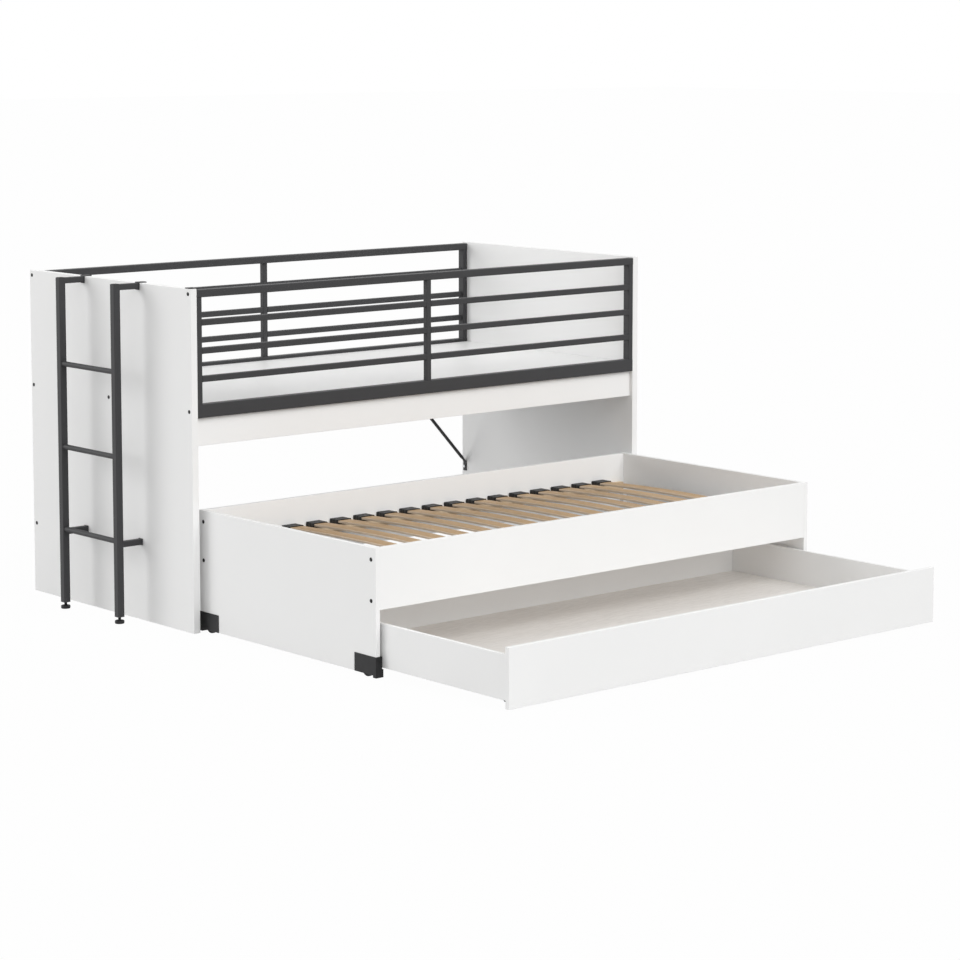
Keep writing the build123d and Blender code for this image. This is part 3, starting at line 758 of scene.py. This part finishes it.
@dataclass
class Ladder(SubAssembly):
    """Uprights, rungs, arms and brackets of the ladder, with its plugs, welds and feet."""

    rung_radius: float = 9 * MILLIMETRE
    bead: float = 1.1 * MILLIMETRE
    ripples: int = 14
    plug_inset: float = 1.2 * MILLIMETRE
    plug_rise: float = 1.6 * MILLIMETRE
    foot_radius: float = 16 * MILLIMETRE
    foot_thickness: float = 12 * MILLIMETRE
    foot_bore: float = 1 * MILLIMETRE
    pad_thickness: float = 2 * MILLIMETRE
    stem_radius: float = 5 * MILLIMETRE
    thread_pitch: float = 1.5 * MILLIMETRE
    thread_depth: float = 0.45 * MILLIMETRE

    def build(self) -> None:
        """Dress the solids and add plugs, welds and feet."""
        self.dress(Finish.CHARCOAL_COAT, "ladder_front_upright", "ladder_rear_upright")
        self.dress(Finish.CHARCOAL_COAT, "ladder_arms", "ladder_brackets")
        self.dress(Finish.CHARCOAL_COAT, *[f"ladder_{n}_rung" for n in ("bottom", "middle", "top")])
        self.add_rung_welds()
        for place in ("front", "rear"):
            self.add_plug(place)
            self.add_foot(place)

    def add_rung_welds(self) -> None:
        """Beads round both ends of each rung."""
        turn = np.linspace(0, 2 * math.pi, 56, endpoint=False)
        outline = self.rung_radius * np.stack([np.cos(turn), np.sin(turn)], axis=-1)
        along = np.array([0.0, 1.0, 0.0])
        beads = []
        for name in ("bottom", "middle", "top"):
            low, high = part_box(f"ladder_{name}_rung")
            centre = (low + high) / 2
            for y in (low.y + self.bead / 2, high.y - self.bead / 2):
                loop = plane_loop(outline, (centre.x, y, centre.z), Axis.X, Axis.Z)
                beads.append(weld_bead(loop, along, self.bead, self.ripples))
        self.piece("ladder_rung_welds", joined(beads), Finish.CHARCOAL_COAT, "bed")

    def add_plug(self, place: str) -> None:
        """Low crowned plastic plug in the top of an upright.

        Args:
            place: front or rear upright.
        """
        low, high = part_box(f"ladder_{place}_upright")
        centre = (low + high) / 2
        size = high.x - low.x - 2 * self.plug_inset
        steps = np.array([[1.0, 0.0], [1.0, 0.5], [0.96, 0.8], [0.86, 0.95], [0.6, 1.0]])
        rings = []
        for share, rise in steps:
            outline = rounded_rectangle(size * share, size * share, size * share * 0.14)
            middle = (centre.x, centre.y, high.z + rise * self.plug_rise)
            rings.append(plane_loop(outline, middle, Axis.X, Axis.Y))
        self.piece(f"ladder_{place}_plug", loft(np.array(rings)), Finish.BLACK_PLASTIC, "bed")

    def add_foot(self, place: str) -> None:
        """Levelling foot: a rubber pad under a moulded disc on a threaded stem.

        Args:
            place: front or rear upright.
        """
        node = f"ladder_{place}_foot"
        low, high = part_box(node)
        centre = Vector(((low.x + high.x) / 2, (low.y + high.y) / 2, 0.0))
        mm = MILLIMETRE
        radius, bore = self.foot_radius, self.foot_bore
        joint, top = self.pad_thickness, self.foot_thickness
        pad = np.array([
            [bore, 0],
            [radius - 1.2 * mm, 0],
            [radius - 0.6 * mm, 0.6 * mm],
            [radius - 0.6 * mm, joint],
            [bore, joint],
        ])
        disc = np.array([
            [bore, joint],
            [radius - 0.3 * mm, joint],
            [radius, joint + 0.4 * mm],
            [radius, top - 3.2 * mm],
            [radius - 0.5 * mm, top - 2.2 * mm],
            [radius - 1.6 * mm, top - 1.5 * mm],
            [radius - 5 * mm, top - 0.9 * mm],
            [9 * mm, top - 0.5 * mm],
            [8.4 * mm, top],
            [bore, top],
        ])
        body = joined([lathe(disc, centre, Axis.Z), self.thread(centre, top, high.z)])
        self.piece(f"{node}_disc", body, Finish.BLACK_PLASTIC, node, node)
        self.piece(f"{node}_pad", lathe(pad, centre, Axis.Z), Finish.RUBBER_PAD, node)

    def thread(self, centre: Vector, start: float, stop: float) -> Surface:
        """Threaded stem: its radius falls by depth * (0.5 - 0.5 * cos(turn - height / pitch)).

        Args:
            centre: point on the stem's axis at height 0.
            start: lower end.
            stop: upper end.

        Returns:
            Closed surface of the stem.
        """
        turn = np.linspace(0, 2 * math.pi, 28, endpoint=False)[None, :]
        height = np.linspace(start, stop, 150)[:, None]
        wave = np.cos(turn - 2 * math.pi * height / self.thread_pitch)
        radius = self.stem_radius - self.thread_depth * (0.5 - 0.5 * wave)
        rings = np.stack([radius * np.cos(turn), radius * np.sin(turn), height + 0 * turn], axis=-1)
        return loft(rings + np.array(centre))


@dataclass(frozen=True)
class WheelShape:
    """Plastic wheel turned about X, with a crowned tread, a dished web and a hub."""

    radius: float
    width: float
    hub: float
    dish: float
    rim: float
    tread_edge: float = 1.6 * MILLIMETRE
    segments: int = 72

    def profile(self) -> np.ndarray:
        """Half section from the axis out over the tread and back, as radius and height."""
        half = self.width / 2
        edge = self.tread_edge
        side = np.array([
            [0.4 * MILLIMETRE, half],
            [self.hub - 0.6 * MILLIMETRE, half],
            [self.hub, half - 0.5 * MILLIMETRE],
            [self.hub + 0.4 * MILLIMETRE, half - self.dish],
            [self.radius - self.rim - 0.6 * MILLIMETRE, half - self.dish],
            [self.radius - self.rim, half - 0.5 * MILLIMETRE],
            [self.radius - self.rim + 0.5 * MILLIMETRE, half],
            [self.radius - edge, half],
            [self.radius - 0.45 * edge, half - 0.35 * edge],
            [self.radius - 0.12 * edge, half - edge],
        ])
        mirrored = side[::-1] * np.array([1, -1])
        crown = np.array([[self.radius, 0.0]])
        return np.concatenate([side, crown, mirrored])

    def surface(self, centre: Vector) -> Surface:
        """Wheel about a centre."""
        return lathe(self.profile(), centre, Axis.X, self.segments)


@dataclass
class Trundle(SubAssembly):
    """Boards, slats, holders, housings and wheels of the bed that rolls out."""

    slat_count: int = 17
    slat_pitch: float = 101.4 * MILLIMETRE
    slat_width: float = 53 * MILLIMETRE
    slat_thickness: float = 8 * MILLIMETRE
    slat_corner: float = 2.2 * MILLIMETRE
    slat_crown: float = 12 * MILLIMETRE
    holder_depth: float = 44 * MILLIMETRE
    holder_wall: float = 2.5 * MILLIMETRE
    holder_slack: float = 0.6 * MILLIMETRE
    holder_grooves: tuple[tuple[float, float], ...] = ((0.30, 0.38), (0.58, 0.66))
    wheel: WheelShape = field(
        default_factory=lambda: WheelShape(0.025, 0.013, 0.009, 1.5 * MILLIMETRE, 5 * MILLIMETRE)
    )
    cap: CapShape = field(default_factory=CapShape)
    cap_inset: float = 22.4 * MILLIMETRE
    cap_heights: tuple[float, float] = (0.3676, 0.2395)

    def build(self) -> None:
        """Dress the solids and add slats, holders, wheels and caps."""
        self.dress(Finish.WHITE_BOARD, *[f"trundle_{n}_panel" for n in ("left", "right", "front", "back")])
        self.dress(Finish.WHITE_BOARD, "trundle_corner_cleats")
        self.dress(Finish.RAIL_WOOD, "slat_rails")
        self.dress(Finish.ZINC_PLATE, "trundle_axles")
        for end in End:
            for side in Side:
                corner = f"trundle_{end.name.lower()}_{side.name.lower()}"
                self.dress(Finish.BLACK_PLASTIC, f"{corner}_housing")
                self.add_wheel(f"{corner}_wheel")
            self.add_holders(end)
        self.add_slats()
        self.add_caps()

    def slat_centres(self) -> list[float]:
        """Places of the slats' middles along X."""
        low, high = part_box("slats")
        middle = (low.x + high.x) / 2
        return [middle + (n - (self.slat_count - 1) / 2) * self.slat_pitch for n in range(self.slat_count)]

    def add_slats(self) -> None:
        """Bowed slats: the middle rises by crown * (1 - t * t), with t from -1 to 1 along Y."""
        low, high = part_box("slats")
        outline = rounded_rectangle(self.slat_width, self.slat_thickness, self.slat_corner, 4)
        share = np.linspace(-1, 1, 41)
        y = (low.y + high.y) / 2 + share * (high.y - low.y) / 2
        z = low.z + self.slat_thickness / 2 + self.slat_crown * (1 - share**2)
        slope = -2 * self.slat_crown * share / ((high.y - low.y) / 2)
        up = np.stack([0 * y, -slope, np.ones_like(y)], axis=-1)
        up /= np.linalg.norm(up, axis=1, keepdims=True)
        side = np.array([[1.0, 0.0, 0.0]])
        at_edge = np.abs(outline[:, 0]) > self.slat_width / 2 - self.slat_corner * 0.8
        marks = np.tile(at_edge.astype(float), (len(y), 1))
        for number, x in enumerate(self.slat_centres(), 1):
            path = np.stack([np.full_like(y, x), y, z], axis=-1)
            surface = loft(carried(outline, path, side, up), marks)
            self.piece(f"slat_{number:02d}", surface, Finish.SLAT_WOOD, "trundle", "slats")

    def holder(self, x: float, start: float, inward: int, low: float, high: float) -> Surface:
        """Sleeve with a rounded closed end, two grooves, a lip at its mouth and a pocket for the slat.

        Args:
            x: middle of the holder.
            start: place of its closed end along Y.
            inward: 1 where its mouth looks along +Y, -1 where it looks along -Y.
            low: height of its underside.
            high: height of its top.

        Returns:
            Closed surface, lofted through rings from the closed end to the mouth and back inside.
        """
        mm = MILLIMETRE
        width = self.slat_width + 2 * self.holder_wall + self.holder_slack
        height = high - low
        depth = self.holder_depth
        pocket = (self.slat_width + self.holder_slack, height - 2 * self.holder_wall)
        groove = (width - 0.8 * mm, height - 0.8 * mm, 3 * mm)
        steps = [
            (0.0, width - 3 * mm, height - 2.4 * mm, 2.5 * mm),
            (0.5 * mm, width - 1.2 * mm, height - 1.0 * mm, 2.8 * mm),
            (1.6 * mm, width - 0.2 * mm, height - 0.2 * mm, 3 * mm),
        ]
        for near, far in self.holder_grooves:
            steps += [
                (depth * near, width, height, 3 * mm),
                (depth * (near + 0.02), *groove),
                (depth * (far - 0.02), *groove),
                (depth * far, width, height, 3 * mm),
            ]
        steps += [
            (depth - 3.2 * mm, width, height, 3 * mm),
            (depth - 2.6 * mm, width + 1.4 * mm, height + 0.6 * mm, 3.4 * mm),
            (depth - 0.6 * mm, width + 1.4 * mm, height + 0.6 * mm, 3.4 * mm),
            (depth, width + 0.4 * mm, height - 0.2 * mm, 3 * mm),
            (depth, pocket[0] + 1.2 * mm, pocket[1] + 1.2 * mm, 2.4 * mm),
            (depth - 1.5 * mm, *pocket, 1.6 * mm),
            (depth * 0.2, *pocket, 1.6 * mm),
        ]
        middle = (low + high) / 2
        rings = [
            plane_loop(rounded_rectangle(w, h, r), (x, start + inward * place, middle), Axis.X, Axis.Z)
            for place, w, h, r in steps
        ]
        return loft(np.array(rings))

    def add_holders(self, end: End) -> None:
        """Row of slat holders along one end of the slats.

        Args:
            end: front or back row.
        """
        low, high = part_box("slat_holders")
        start = low.y if end is End.FRONT else high.y
        surfaces = [self.holder(x, start, -end.value, low.z, high.z) for x in self.slat_centres()]
        name = f"slat_holders_{end.name.lower()}"
        self.piece(name, joined(surfaces), Finish.BLACK_PLASTIC, "trundle", "slat_holders")

    def add_wheel(self, node: str) -> None:
        """Wheel in place of its plain solid.

        Args:
            node: the wheel's node, which is also its body.
        """
        low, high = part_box(node)
        surface = self.wheel.surface((low + high) / 2)
        self.piece(f"{node}_moulding", surface, Finish.WHEEL_PLASTIC, node, node)

    def add_caps(self) -> None:
        """Domed caps on both side panels, in place of the flat ones."""
        left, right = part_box("trundle_left_panel"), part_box("trundle_right_panel")
        rows = (left[0].y + self.cap_inset, left[1].y - self.cap_inset)
        caps = []
        for face, side in ((left[0].x, Side.LEFT), (right[1].x, Side.RIGHT)):
            caps += [self.cap.surface(Vector((face, y, z)), side) for y in rows for z in self.cap_heights]
        self.piece("trundle_cap_domes", joined(caps), Finish.BLACK_PLASTIC, "trundle", "trundle_screw_caps")


@dataclass
class Drawer(SubAssembly):
    """Boards, castor brackets and castor wheels of the storage drawer."""

    wheel: WheelShape = field(
        default_factory=lambda: WheelShape(0.017, 0.012, 0.005, 1.2 * MILLIMETRE, 4 * MILLIMETRE)
    )
    pin_radius: float = 3 * MILLIMETRE

    def build(self) -> None:
        """Dress the boards and add the castor wheels."""
        self.dress(Finish.WHITE_BOARD, "drawer_front", "drawer_left_side", "drawer_right_side", "drawer_back")
        self.dress(Finish.DRAWER_BOARD, "drawer_base")
        self.dress(Finish.ZINC_PLATE, "castor_brackets")
        for end in End:
            for side in Side:
                self.add_wheel(f"drawer_{end.name.lower()}_{side.name.lower()}_wheel")

    def add_wheel(self, node: str) -> None:
        """Castor wheel with its moulded pins, in place of its plain solid.

        Args:
            node: the wheel's node, which is also its body.
        """
        low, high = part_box(node)
        centre = (low + high) / 2
        reach = (high.x - low.x) / 2
        pin = np.array([[self.pin_radius, -reach], [self.pin_radius, reach]])
        surface = joined([self.wheel.surface(centre), lathe(pin, centre, Axis.X, 32)])
        self.piece(f"{node}_moulding", surface, Finish.WHEEL_PLASTIC, node, node)


@dataclass(frozen=True)
class Lamp:
    """Broad distant softbox, by its energy, its breadth in degrees and the way towards it."""

    name: str
    energy: float
    breadth: float
    towards: tuple[float, float, float]

    def add(self) -> None:
        """Put the lamp into the scene."""
        light = bpy.data.lights.new(self.name, "SUN")
        light.energy = self.energy
        light.angle = math.radians(self.breadth)
        lamp = bpy.data.objects.new(self.name, light)
        bpy.context.scene.collection.objects.link(lamp)
        lamp.rotation_mode = "QUATERNION"
        lamp.rotation_quaternion = Vector(self.towards).to_track_quat("Z", "Y")
        log.info("lamp %s", self.name)


@dataclass(frozen=True)
class Studio:
    """White floor and background, two softboxes and the camera at the photograph's place."""

    camera_place: tuple[float, float, float] = (-6.2274, -7.2689, 1.9791)
    camera_turn: float = 40.869
    camera_tilt: float = 6.415
    lens: float = 106.51
    film_width: float = 36.0
    shift: float = -0.14
    clip: tuple[float, float] = (0.1, 200.0)
    ambient: float = 0.55
    floor_tone: float = 0.50
    floor_glow: float = 0.98
    floor_reach: float = 60.0
    lamps: tuple[Lamp, ...] = (
        Lamp("front_softbox", 1.85, 50.0, (0.03, -0.48, 0.40)),
        Lamp("rear_softbox", 1.3, 40.0, (-0.27, 0.24, 0.14)),
    )

    def build(self) -> None:
        """Set up the whole studio."""
        self.add_world()
        self.add_floor()
        for lamp in self.lamps:
            lamp.add()
        self.add_camera()
        bpy.context.scene.view_settings.view_transform = "Standard"

    def seen_straight(self, tree: bpy.types.NodeTree) -> bpy.types.NodeSocket:
        """Number that is 1 for camera, glossy and transmission rays and 0 for the rest."""
        path = tree.nodes.new("ShaderNodeLightPath")
        first = tree.nodes.new("ShaderNodeMath")
        first.operation = "MAXIMUM"
        tree.links.new(path.outputs["Is Camera Ray"], first.inputs[0])
        tree.links.new(path.outputs["Is Glossy Ray"], first.inputs[1])
        second = tree.nodes.new("ShaderNodeMath")
        second.operation = "MAXIMUM"
        tree.links.new(first.outputs[0], second.inputs[0])
        tree.links.new(path.outputs["Is Transmission Ray"], second.inputs[1])
        return second.outputs[0]

    def finish_tree(
        self,
        tree: bpy.types.NodeTree,
        output: bpy.types.Node,
        share: bpy.types.NodeSocket,
        shaders: tuple[bpy.types.Node, bpy.types.Node],
    ) -> None:
        """Mix two shaders into an output.

        Args:
            tree: node tree that holds them.
            output: the tree's output node.
            share: socket of the second shader's share.
            shaders: the two shaders.
        """
        mix = tree.nodes.new("ShaderNodeMixShader")
        tree.links.new(share, mix.inputs[0])
        for place, shader in enumerate(shaders, 1):
            tree.links.new(shader.outputs[0], mix.inputs[place])
        tree.links.new(mix.outputs[0], output.inputs["Surface"])

    def add_world(self) -> None:
        """World that lights the bed softly and looks white to the camera."""
        world = bpy.data.worlds.new("studio_world")
        world.use_nodes = True
        bpy.context.scene.world = world
        tree = world.node_tree
        tree.nodes.clear()
        output = tree.nodes.new("ShaderNodeOutputWorld")
        light = tree.nodes.new("ShaderNodeBackground")
        light.inputs["Strength"].default_value = self.ambient
        white = tree.nodes.new("ShaderNodeBackground")
        for background in (light, white):
            background.inputs["Color"].default_value = (1, 1, 1, 1)
        self.finish_tree(tree, output, self.seen_straight(tree), (light, white))
        log.info("studio world")

    def add_floor(self) -> None:
        """Wide grey floor that looks almost white to the camera, with a trace of shadow."""
        material = bpy.data.materials.new("studio_floor")
        material.use_nodes = True
        tree = material.node_tree
        tree.nodes.clear()
        output = tree.nodes.new("ShaderNodeOutputMaterial")
        matt = tree.nodes.new("ShaderNodeBsdfDiffuse")
        matt.inputs["Color"].default_value = (self.floor_tone, self.floor_tone, self.floor_tone, 1)
        glow = tree.nodes.new("ShaderNodeEmission")
        share = tree.nodes.new("ShaderNodeMath")
        share.operation = "MULTIPLY"
        share.inputs[1].default_value = self.floor_glow
        tree.links.new(self.seen_straight(tree), share.inputs[0])
        self.finish_tree(tree, output, share.outputs[0], (matt, glow))
        reach = self.floor_reach
        corners = [(-reach, -reach, 0), (reach, -reach, 0), (reach, reach, 0), (-reach, reach, 0)]
        mesh = bpy.data.meshes.new("studio_floor")
        mesh.from_pydata(corners, [], [(0, 1, 2, 3)])
        mesh.materials.append(material)
        floor = bpy.data.objects.new("studio_floor", mesh)
        bpy.context.scene.collection.objects.link(floor)
        log.info("studio floor")

    def add_camera(self) -> None:
        """Camera at the photograph's viewing angle."""
        data = bpy.data.cameras.new("camera")
        data.lens = self.lens
        data.sensor_width = self.film_width
        data.shift_y = self.shift
        data.clip_start, data.clip_end = self.clip
        camera = bpy.data.objects.new("camera", data)
        bpy.context.scene.collection.objects.link(camera)
        turn, tilt = math.radians(self.camera_turn), math.radians(self.camera_tilt)
        level = math.cos(tilt)
        look = Vector((math.sin(turn) * level, math.cos(turn) * level, -math.sin(tilt)))
        camera.location = self.camera_place
        camera.rotation_mode = "QUATERNION"
        camera.rotation_quaternion = look.to_track_quat("-Z", "Y")
        bpy.context.scene.camera = camera
        log.info("camera")


def cap_places_of(panel: str) -> tuple[tuple[float, float], ...]:
    """Places of the screw caps on an end panel, from the panel's own box.

    Args:
        panel: node of the end panel.

    Returns:
        Pairs of Y and Z.
    """
    low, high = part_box(panel)
    inset, brace_inset = 14 * MILLIMETRE, 18 * MILLIMETRE
    rail, deck, top, brace = 0.7325, 0.735, 1.1175, 0.243
    middle = (low.y + high.y) / 2
    front, back = low.y + inset, high.y - inset
    fixings = ((front, top), (front, rail), (middle, deck), (back, top), (back, rail))
    return (*fixings, (high.y - brace_inset, brace))


def main() -> None:
    """Build the bed's looks in order: bed, ladder, trundle, drawer and studio."""
    logging.basicConfig(level=logging.INFO, format="%(message)s")
    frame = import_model()
    rack = FinishRack()
    nodes = frame["nodes"]
    UpperBed(nodes, rack, cap_places=cap_places_of("left_end_panel")).build()
    Ladder(nodes, rack).build()
    Trundle(nodes, rack).build()
    Drawer(nodes, rack).build()
    Studio().build()


if __name__ == "__main__":
    main()
